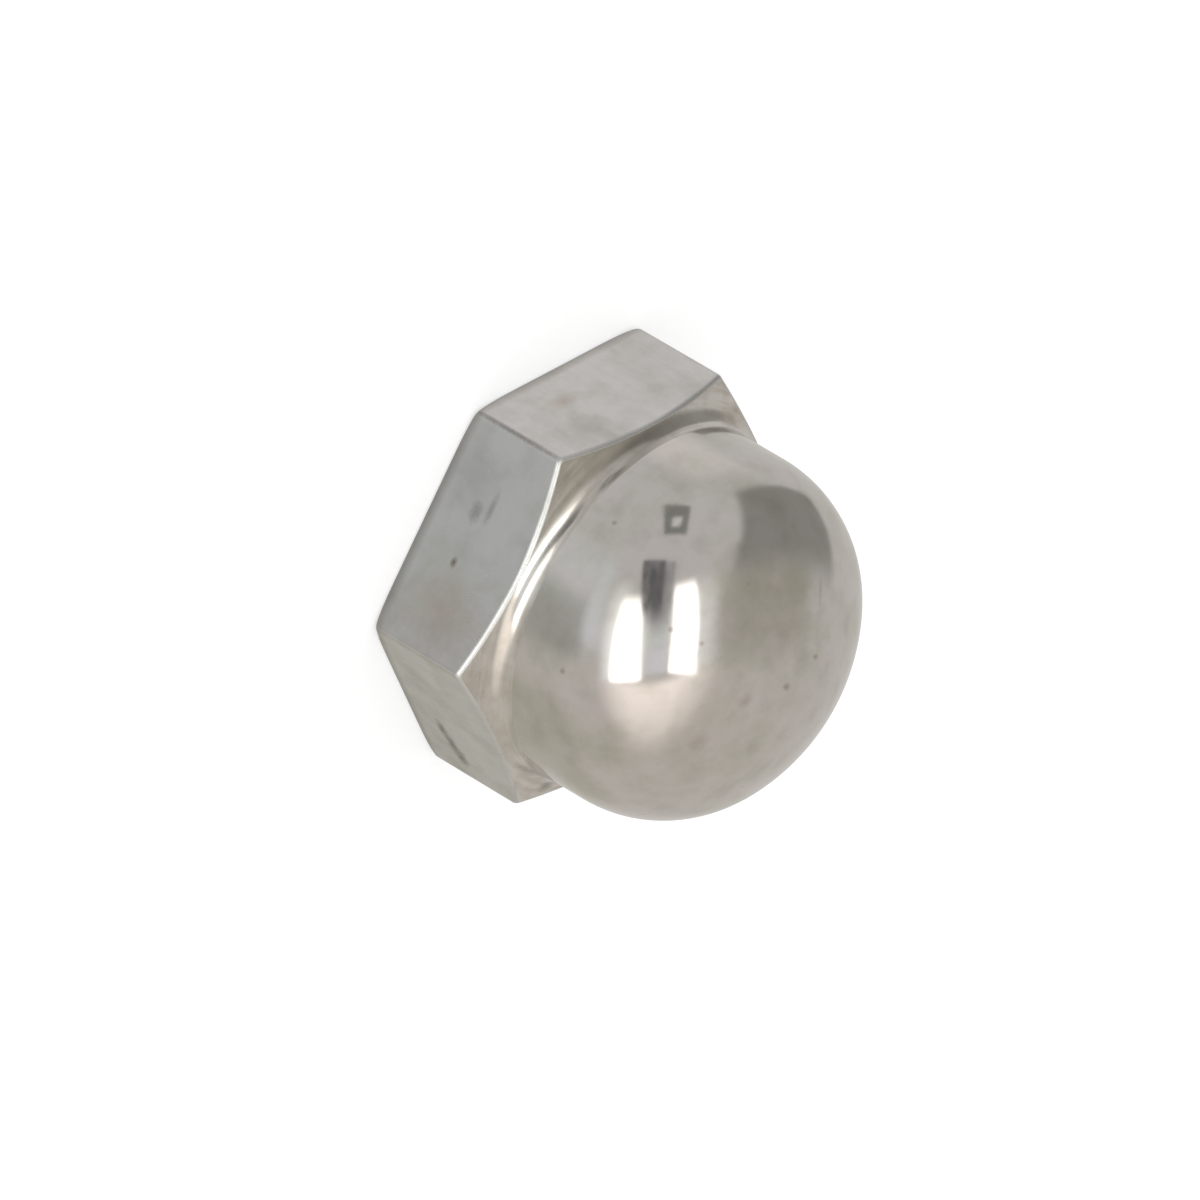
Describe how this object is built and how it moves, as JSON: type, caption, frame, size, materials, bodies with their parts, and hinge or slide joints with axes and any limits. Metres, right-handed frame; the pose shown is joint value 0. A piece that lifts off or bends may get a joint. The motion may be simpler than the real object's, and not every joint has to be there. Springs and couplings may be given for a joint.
{
  "type": "cap nut",
  "caption": "Domed cap nut: a chamfered hexagon with a smooth closed dome over a blind threaded hole, turned from solid bar.",
  "frame": {"origin": "centre of the flat bearing face, on the thread axis", "axes": "+Z along the thread axis towards the top of the dome; +Y square to one flat of the hexagon; +X through one of its corners"},
  "size_m": [0.0196, 0.017, 0.0148],
  "materials": {
    "stainless_steel": "polished dome, satin flats, light stains and small pits"
  },
  "bodies": {
    "root": {"cap_nut": "stainless_steel"}
  },
  "joints": []
}
